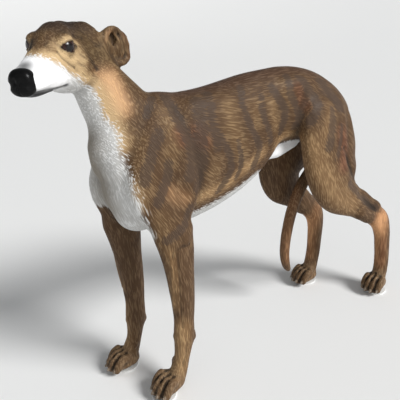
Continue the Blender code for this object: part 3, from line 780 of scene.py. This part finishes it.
# White: reach at each place, down the throat and chest, along the belly, and on the sheath
WHITE_PATHS = [
    [(-0.205, 0.02, 1.045, 0.07), (-0.165, 0.01, 0.98, 0.07), (-0.15, 0.005, 0.93, 0.062)],
    [(-0.15, 0.005, 0.93, 0.062), (-0.15, 0.0, 0.88, 0.094), (-0.155, 0.0, 0.82, 0.106)],
    [(-0.155, 0.0, 0.82, 0.106), (-0.15, 0.0, 0.75, 0.122), (-0.14, 0.0, 0.69, 0.13)],
    [(-0.14, 0.0, 0.69, 0.13), (-0.11, 0.0, 0.635, 0.12), (0.0, 0.0, 0.56, 0.09)],
    [(0.0, 0.0, 0.56, 0.09), (0.13, 0.0, 0.556, 0.088), (0.26, 0.0, 0.584, 0.084)],
    [(0.26, 0.0, 0.584, 0.084), (0.38, 0.0, 0.64, 0.07), (0.42, 0.0, 0.67, 0.03)],
    [(0.48, 0.0, 0.7, 0.036), (0.53, 0.0, 0.71, 0.038), (0.615, 0.0, 0.73, 0.032)],
]
# The chest's shaded middle: strength, reach and places
CHEST_SHADE = (0.95, 0.092, [(-0.165, 0.01, 0.88), (-0.16, 0.01, 0.78), (-0.15, 0.01, 0.68)])
# Where the forelegs' brown keeps the white out, and how wide
FORELEG_TOPS_REACH = 0.062
FORELEG_TOPS = [
    [(0.02, -0.104, 0.61), (0.03, -0.104, 0.45)],
    [(-0.062, 0.106, 0.61), (-0.05, 0.104, 0.45)],
    [(-0.105, 0.085, 0.61), (-0.09, 0.095, 0.48)],
]
# The muzzle is white below a plane that rises forward, in the head's axes
MUZZLE_EDGE = ((0.093, -0.013), 0.524)
# Black: strength, reach and places. One stroke is at the inner corner of the right eye
FAR_EYE_CORNER = (0.92, 0.013, [
    (0.04, -0.024, 0.01), (0.05, -0.022, 0.003), (0.065, -0.0205, -0.006),
])
# The others are on the lips and the chin, round the nose and in the face's wrinkles. The faint ones in
# the wrinkles are a dark wash and painted shade in one
HEAD_BLACK = [
    (1.0, 0.011, MOUTH),
    (0.97, 0.026, [(0.15, 0.012, -0.103), (0.112, 0.016, -0.107), (0.078, 0.02, -0.11)]),
    (1.0, 0.015, [
        (0.146, 0.017, -0.091), (0.1155, 0.0225, -0.0925), (0.085, 0.023, -0.094),
        (0.066, 0.0235, -0.095),
    ]),
    (0.95, 0.026, [(0.158, 0.0, -0.094), (0.142, 0.012, -0.098), (0.112, 0.014, -0.098)]),
    (0.95, 0.028, [(0.164, 0.0, -0.05), (0.166, 0.0, -0.084)]),
    (0.8, 0.03, [(0.15, 0.0, -0.034), (0.138, 0.0, -0.028)]),
    # Faint black along the wrinkles: a dark wash and painted shade in one
    (0.22, 0.008, [(0.036, 0.012, 0.022), (0.056, 0.015, 0.004)]),
    (0.22, 0.006, [(0.044, 0.036, -0.01), (0.036, 0.042, -0.024), (0.011, 0.049, -0.04)]),
]
# Fair paint keeps its colour between the hairs: from which brightness, over what span, and how far
FAIR_FROM = 0.22
FAIR_SPAN = 0.22
FAIR_MOST = 0.62


def light(colour):
    """A colour as the eye sees it, as an amount of light."""
    share = np.array(colour) / 255
    return np.where(share < 0.04045, share / 12.92, ((share + 0.055) / 1.055) ** 2.4)


def spread(points, path):
    """How far inside a path's own reach each point is, as a share of it."""
    best = np.full(len(points), -9.0)
    for (*start, first), (*end, last) in zip(path, path[1:]):
        start, along = np.array(start), np.array(end) - start
        share = np.clip((points - start) @ along / (along @ along), 0, 1)
        reach = first + (last - first) * share
        gap = np.linalg.norm(points - start - share[:, None] * along, axis=1)
        best = np.maximum(best, 1 - gap / reach)
    return best


def store(mesh, name, values):
    """Keeps one number, or one colour, for every vertex."""
    values = np.asarray(values, np.float32)
    if values.ndim == 1:
        mesh.attributes.new(name, "FLOAT", "POINT").data.foreach_set("value", values)
    else:
        full = np.hstack([values, np.ones((len(values), 1), np.float32)])
        mesh.attributes.new(name, "FLOAT_COLOR", "POINT").data.foreach_set("color", full.ravel())


def paint_strokes(points, ground, strokes, stance=((0, 0, 0),), into=list):
    """Airbrushes the strokes on the left side and on the right."""
    for colour, strength, reach, path in strokes:
        for places in (path, far_side(path, stance)):
            share = (strength * near(points, into(places), reach))[:, None]
            ground = ground + share * (light(colour) - ground)
    return ground


def ground_colour(points, head):
    """The coat's browns, sands and tans, the ears' colours and the claws'."""
    ground = np.tile(light(BROWN), (len(points), 1))
    ground = ground + head[:, None] * (light(HEAD_BROWN) - ground)
    ground = paint_strokes(points, ground, BODY_PAINT)
    ground = paint_strokes(points, ground, FORELEG_PAINT, FORELEG_STANCE)
    ground = paint_strokes(points, ground, HINDLEG_PAINT, HINDLEG_STANCE)
    ground = paint_strokes(points, ground, FACE_PAINT, into=on_head)
    for colour, strength, reach, path in on_ears(EAR_PAINT):
        share = (strength * near(points, path, reach))[:, None]
        ground = ground + share * (light(colour) - ground)
    for (x, y), turn in PAWS.values():
        place = Matrix.Translation((x, y, 0)) @ Matrix.Rotation(turn, 4, "Z")
        for across, reach in TOES:
            root = place @ Vector((-reach - 0.010, across * 1.05, 0.030))
            tip = place @ Vector((-reach - 0.020, across * 1.07, 0.016))
            share = near(points, [root, tip], 0.011)[:, None]
            ground += share * (light(CLAW) - ground)
    return ground


def band_share(points):
    """The brindle's dark bands."""
    bands = np.zeros(len(points))
    for reach, path in BODY_BANDS:
        stance = HINDLEG_STANCE if path[0][0] > 0.6 else FORELEG_STANCE
        bands = np.maximum(bands, near_either(points, path, 1.5 * reach, stance))
    return bands


def white_and_sleek(points, in_head, head):
    """The white parts, and the parts without any hair strokes."""
    white = np.max([spread(points, path) for path in WHITE_PATHS], axis=0) * 4
    for path in FORELEG_TOPS:
        white = np.minimum(white, (line_distance(points, path) / FORELEG_TOPS_REACH - 1) * 4)
    (ahead, level), slope = MUZZLE_EDGE
    below = (level - slope * (ahead - in_head[:, 0]) - in_head[:, 2]) / 0.02
    below = np.minimum(below, np.minimum(in_head[:, 0] + 0.120, in_head[:, 2] + 0.125) / 0.02)
    below = np.minimum(below, (0.075 - np.abs(in_head[:, 1])) / 0.02)
    below = np.where(head > 0.2, below, -9)
    white = np.clip(0.5 + 0.5 * np.maximum(white, below), 0, 1)
    sleek = np.clip(0.5 + below / 2, 0, 1) * np.clip((in_head[:, 0] + 0.02) / 0.05, 0, 1)
    return white, np.maximum(sleek, 0.8 * np.clip((points[:, 0] - 0.45) / 0.03, 0, 1))


def black_share(points):
    """Lips, chin and lids, and a dark wash that is also painted shade in the wrinkles and the ears' folds.
    """
    black = np.zeros(len(points))
    for strength, reach, path in HEAD_BLACK:
        black = np.maximum(black, strength * near_either(points, path, reach, into=on_head))
    # Faint black along the ears' folds: a dark wash and painted shade in one
    for _, reach, path in on_ears(EAR_RELIEF):
        black = np.maximum(black, 0.40 * near(points, path, reach))
    for side, reach in ((1, 0.0060), (-1, 0.0105)):
        for rise in LID_RISES:
            lid = on_head(lid_path(side, rise * 0.9))
            black = np.maximum(black, 0.92 * near(points, lid, reach))
    strength, reach, path = FAR_EYE_CORNER
    return np.maximum(black, strength * near(points, on_head(path), reach))


def store_lies(mesh, points, in_head, head):
    """Which way the hair lies: on the ears, on the cheeks, and in steps of slope on the body."""
    ears = [fade(np.linalg.norm(in_head - np.array(EARS[side]), axis=1), 0.075) for side in (1, -1)]
    ear = np.clip(3 * (ears[0] + ears[1]), 0, 1)
    cheek = head * np.clip((in_head[:, 2] + 0.105) / 0.02, 0, 1)
    cheek = cheek * np.clip((in_head[:, 0] + 0.20) / 0.02, 0, 1)
    store(mesh, "lie_ear", ear)
    store(mesh, "lie_head", cheek * (1 - ear))
    angles, heights = np.zeros(len(points)), np.zeros(len(points))
    for angle, x, z in COAT_LIES:
        pull = ((points[:, 0] - x) ** 2 + (points[:, 2] - z) ** 2 + 1e-4) ** -2
        angles += pull * angle
        heights += pull
    turns = angles / heights / LIE_STEP
    body = (1 - ear) * (1 - cheek * (1 - ear))
    for step in range(LIE_COUNT):
        store(mesh, f"lie_{step}", body * np.clip(1.6 - 2.2 * np.abs(turns - step), 0, 1))


def paint(mesh):
    """Works out where each colour, band, white patch, hollow and lie of the coat is."""
    points = points_of(mesh)
    in_head = (points - np.array(HEAD_TO_DOG.translation)) @ np.array(HEAD_TO_DOG.to_3x3())
    head = fade(np.linalg.norm(in_head - np.array([-0.06, 0, -0.02]), axis=1), 0.30)
    head = np.clip(head * 3, 0, 1)
    ground = ground_colour(points, head)
    store(mesh, "ground", ground)
    fair = (ground.mean(axis=1) - FAIR_FROM) / FAIR_SPAN
    store(mesh, "fair", FAIR_MOST * np.clip(fair, 0, 1))
    store(mesh, "band", band_share(points))
    white, sleek = white_and_sleek(points, in_head, head)
    store(mesh, "white", white)
    store(mesh, "sleek", sleek)
    store(mesh, "black", black_share(points))
    strength, reach, path = CHEST_SHADE
    store(mesh, "shade", strength * near(points, path, reach))
    store(mesh, "hollow", deep)
    store_lies(mesh, points, in_head, head)


paint(dog.data)
dog.data.transform(DOG_TO_TABLE)
dog.data.shade_smooth()
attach(dog, "root")
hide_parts("greyhound")


# Materials are written as sums and products of signals


class Signal:
    """A socket whose values are worked out with Python's operators."""

    def __init__(self, recipe, socket):
        self.recipe = recipe
        self.socket = socket

    def math(self, operation, *others):
        node = self.recipe.tree.nodes.new("ShaderNodeMath")
        node.operation = operation
        for slot, value in zip(node.inputs, (self, *others)):
            self.recipe.feed(slot, value)
        return Signal(self.recipe, node.outputs[0])

    def __add__(self, other):
        return self.math("ADD", other)

    def __mul__(self, other):
        return self.math("MULTIPLY", other)

    def __sub__(self, other):
        return self.math("SUBTRACT", other)

    def __rsub__(self, other):
        return self * -1 + other

    __radd__ = __add__
    __rmul__ = __mul__

    def between(self, low, high):
        """Nothing up to low, one from high, and a smooth step in between."""
        return self.recipe.node(
            "ShaderNodeMapRange",
            {"interpolation_type": "SMOOTHSTEP"},
            {"Value": self, "From Min": low, "From Max": high},
        )


class Recipe:
    """One material, whose nodes are added by name."""

    def __init__(self, name):
        self.material = bpy.data.materials.new(name)
        self.material.use_nodes = True
        self.tree = self.material.node_tree
        self.shader = self.tree.nodes["Principled BSDF"]

    def feed(self, slot, value):
        if isinstance(value, Signal):
            self.tree.links.new(value.socket, slot)
        else:
            slot.default_value = value

    def node(self, kind, settings=None, values=None, output=0):
        node = self.tree.nodes.new(kind)
        for key, setting in (settings or {}).items():
            setattr(node, key, setting)
        for key, value in (values or {}).items():
            self.feed(node.inputs[key], value)
        return Signal(self, node.outputs[output])

    def attribute(self, name, output="Fac"):
        return self.node("ShaderNodeAttribute", {"attribute_name": name}, output=output)

    def places(self, size=(1, 1, 1), turn=(0, 0, 0)):
        """Object coordinates, counted in that size, along axes that are turned."""
        places = self.node("ShaderNodeTexCoord", output="Object")
        values = {"Vector": places, "Scale": size, "Rotation": turn}
        return self.node("ShaderNodeMapping", {"vector_type": "TEXTURE"}, values)

    def noise(self, places, detail=2.0, roughness=0.5):
        values = {"Vector": places, "Scale": 1.0, "Detail": detail, "Roughness": roughness}
        return self.node("ShaderNodeTexNoise", None, values)

    def mix(self, first, second, share, blend="MIX"):
        node = self.tree.nodes.new("ShaderNodeMix")
        node.data_type = "RGBA"
        node.blend_type = blend
        self.feed(node.inputs[0], share)
        for slot, value in zip((node.inputs[6], node.inputs[7]), (first, second)):
            self.feed(slot, value if isinstance(value, Signal) else (*value, 1))
        return Signal(self, node.outputs[2])

    def bump(self, height, distance, strength=1.0):
        values = {"Height": height, "Distance": distance, "Strength": strength}
        return self.node("ShaderNodeBump", None, values)

    def finish(self, colour, roughness, normal=None, **constants):
        colour = colour if isinstance(colour, Signal) else (*colour, 1)
        self.feed(self.shader.inputs["Base Color"], colour)
        self.feed(self.shader.inputs["Roughness"], roughness)
        if normal:
            self.feed(self.shader.inputs["Normal"], normal)
        for name, value in constants.items():
            self.shader.inputs[name.replace("_", " ")].default_value = value
        return self.material


def hair(recipe):
    """Brushed hair strokes, each part of the dog with its own lie: 0 between the hairs, 1 on them."""
    head = Matrix.Rotation(math.pi + HEAD_TURN, 4, "Z")
    cheek = (head @ Matrix.Rotation(math.radians(150), 4, "Y")).to_euler()
    ear = (head @ Matrix.Rotation(math.radians(105), 4, "Y")).to_euler()
    lies = {
        "lie_ear": (tuple(ear), (0.0050, 0.0010, 0.0010)),
        "lie_head": (tuple(cheek), (0.0042, 0.00075, 0.00075)),
    }
    for step in range(LIE_COUNT):
        lies[f"lie_{step}"] = ((0, math.radians(LIE_STEP * step), 0), (0.0070, 0.0008, 0.0008))
    total = None
    for name, (turn, size) in lies.items():
        strokes = recipe.noise(recipe.places(size, turn), 1.0) * recipe.attribute(name)
        total = strokes if total is None else total + strokes
    return total.between(0.44, 0.66)


# Paint as amounts of light: what dims it between the hairs and on them, the white between and on its
# hairs, in shade and on the muzzle, and the darks of the hollows and of the lips
BETWEEN_HAIRS = (0.37, 0.3, 0.25)
ON_HAIRS = (0.94, 0.92, 0.87)
WHITE_BETWEEN = (0.42, 0.41, 0.39)
WHITE_ON_HAIRS = (0.8, 0.8, 0.79)
WHITE_IN_SHADE = (0.2, 0.17, 0.13)
WHITE_MUZZLE = (0.9, 0.9, 0.9)
# The darks of the hollows are a dark wash and painted shade in one
HOLLOW_WASH_AND_SHADE = (0.02, 0.014, 0.01)
LIP_BLACK = (0.012, 0.012, 0.013)


def painted_coat():
    """Brindle paint over brushed hair, with white on the muzzle, throat, chest and belly."""
    recipe = Recipe("brindle_coat")
    strokes = hair(recipe)
    sleek = 1 - recipe.attribute("sleek")
    patches = recipe.noise(recipe.places((0.010, 0.010, 0.010)), 3.0)
    ground = recipe.attribute("ground", "Color")
    deep = recipe.mix(ground, BETWEEN_HAIRS, 1 - recipe.attribute("fair"), "MULTIPLY")
    bright = recipe.mix(ground, ON_HAIRS, 1.0, "MULTIPLY")
    coat = recipe.mix(deep, bright, strokes * 0.66 + patches * 0.5 - 0.08)
    band = recipe.attribute("band") + (strokes - 0.4) * -0.30 + (patches - 0.5) * 0.6
    band = band.between(0.25, 0.80)
    coat = recipe.mix(coat, tuple(light(STRIPE)), band * 0.72)
    white = (recipe.attribute("white") + (strokes - 0.4) * 0.26).between(0.28, 0.76)
    chalk = recipe.mix(WHITE_BETWEEN, WHITE_ON_HAIRS, strokes * 0.5 + patches * 0.4)
    chalk = recipe.mix(chalk, WHITE_IN_SHADE, recipe.attribute("shade"))
    chalk = recipe.mix(WHITE_MUZZLE, chalk, sleek)
    coat = recipe.mix(coat, chalk, white)
    # Darker in the hollows: a dark wash and painted shade in one
    coat = recipe.mix(coat, HOLLOW_WASH_AND_SHADE, recipe.attribute("hollow") * (1 - white * 0.6) * 0.85)
    coat = recipe.mix(coat, LIP_BLACK, recipe.attribute("black"))
    normal = recipe.bump(strokes * sleek, 0.00026, 0.7)
    return recipe.finish(coat, 0.55 - strokes * 0.08, normal, Specular_IOR_Level=0.14)


dog.data.materials.clear()
dog.data.materials.append(painted_coat())


def piece(name, mesh):
    """An object of its own that rides with the dog."""
    made = put(name, mesh)
    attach(made, "root")
    return made


def globe(name, columns, rows):
    """A ball of unit size, as a mesh with smooth shading."""
    bm = bmesh.new()
    bmesh.ops.create_uvsphere(bm, u_segments=columns, v_segments=rows, radius=1)
    mesh = mesh_from(bm, name)
    mesh.shade_smooth()
    return mesh


def eyeball(side):
    """A glossy ball behind the lids, with a red-brown iris round a black pupil."""
    mesh = globe("eye", 64, 48)
    points = points_of(mesh)
    _, _, outward = eye_axes(side)
    gaze = Vector((0.55, side * 0.82, 0.05)).normalized()
    store(mesh, "iris", np.clip(1 - np.abs(points @ np.array(gaze) - 0.80) / 0.16, 0, 1))
    set_points(mesh, points * EYE_RADIUS + np.array(EYES[side]))
    mesh.transform(DOG_TO_TABLE @ HEAD_TO_DOG)
    return piece("eye_left" if side > 0 else "eye_right", mesh)


def nose_leather():
    """The nose: a blunt pad with two comma shaped nostrils and a groove between them."""
    mesh = globe("nose", 128, 96)
    points = points_of(mesh)
    normals = points.copy()
    points = points / (np.abs(points) ** 2.5).sum(1)[:, None] ** 0.4 * np.array(NOSE_RADII)
    for side in (1, -1):
        slit = [
            (0.0215, side * 0.009, 0.004),
            (0.019, side * 0.016, -0.001),
            (0.011, side * 0.0255, -0.007),
        ]
        points = points - normals * (0.0036 * near(points, slit, 0.0105))[:, None]
    groove = [(0.0215, 0, -0.002), (0.0205, 0, -0.016), (0.014, 0, -0.028)]
    points = points - normals * (0.0030 * near(points, groove, 0.0045))[:, None]
    set_points(mesh, points + np.array(NOSE))
    mesh.transform(DOG_TO_TABLE @ HEAD_TO_DOG)
    return piece("nose", mesh)


def glossy(name, colour, roughness, coat, ring=None):
    """A hard shine over one dark colour with a faint cloud in it."""
    recipe = Recipe(name)
    cloud = recipe.noise(recipe.places((0.002, 0.002, 0.002)), 2.0)
    tone = recipe.mix(tuple(c * 0.6 for c in colour), tuple(c * 1.4 for c in colour), cloud)
    if ring:
        tone = recipe.mix(tone, ring, recipe.attribute("iris"))
    grain = recipe.noise(recipe.places((0.0006, 0.0006, 0.0006)), 2.0)
    shine = {"Coat_Weight": coat, "Coat_Roughness": 0.2, "Specular_IOR_Level": coat / 2}
    return recipe.finish(tone, roughness, recipe.bump(grain, 0.00003, 0.3), **shine)


def felt():
    """White felt for the pads under the paws."""
    recipe = Recipe("white_felt")
    fibres = recipe.noise(recipe.places((0.0004, 0.0004, 0.0004)), 4.0, 0.7)
    tone = recipe.mix((0.60, 0.60, 0.58), (0.86, 0.86, 0.84), fibres.between(0.35, 0.65))
    return recipe.finish(tone, 0.95, recipe.bump(fibres, 0.0002, 0.6))


# Eye and nose: colour, roughness, shine, and the iris
EYE_LOOK = ((0.006, 0.004, 0.004), 0.24, 0.4, (0.034, 0.011, 0.007))
NOSE_LOOK = ((0.003, 0.003, 0.003), 0.45, 0.13)

eyes = [eyeball(1), eyeball(-1)]
nose = nose_leather()
for eye in eyes:
    eye.data.materials.append(glossy("brown_eye", *EYE_LOOK))
nose.data.materials.append(glossy("black_nose", *NOSE_LOOK))
pad_felt = felt()
for name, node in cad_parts.items():
    if name.startswith("foot_pad"):
        node.material_slots[0].material = pad_felt


# The two soft suns: aim, strength, and width in degrees
SUNS = {"key": ((-0.42, 0.72, -0.62), 3.5, 22), "fill": ((0.6, 0.5, -0.5), 0.20, 60)}


def studio():
    """A pale table top that rises far off, one soft light from above on the right, and an even sky."""
    bm = bmesh.new()
    bmesh.ops.create_grid(bm, x_segments=60, y_segments=60, size=9)
    for vert in bm.verts:
        vert.co.z = 0.03 * max(0.0, math.hypot(vert.co.x, vert.co.y) - 2.0) ** 2
    mesh = mesh_from(bm, "floor")
    mesh.shade_smooth()
    floor = put("floor", mesh)
    pale = Recipe("pale_floor")
    mesh.materials.append(pale.finish((0.86, 0.86, 0.85), 0.7))
    for name, (aim, strength, angle) in SUNS.items():
        data = bpy.data.lights.new(name, "SUN")
        data.energy = strength
        data.angle = math.radians(angle)
        lamp = put(name, data)
        lamp.rotation_euler = Vector(aim).to_track_quat("-Z", "Y").to_euler()
    world = bpy.data.worlds.new("sky")
    world.use_nodes = True
    world.node_tree.nodes["Background"].inputs["Color"].default_value = (0.88, 0.91, 0.94, 1)
    world.node_tree.nodes["Background"].inputs["Strength"].default_value = 0.25
    bpy.context.scene.world = world
    bpy.context.scene.view_settings.view_transform = "Standard"


studio()
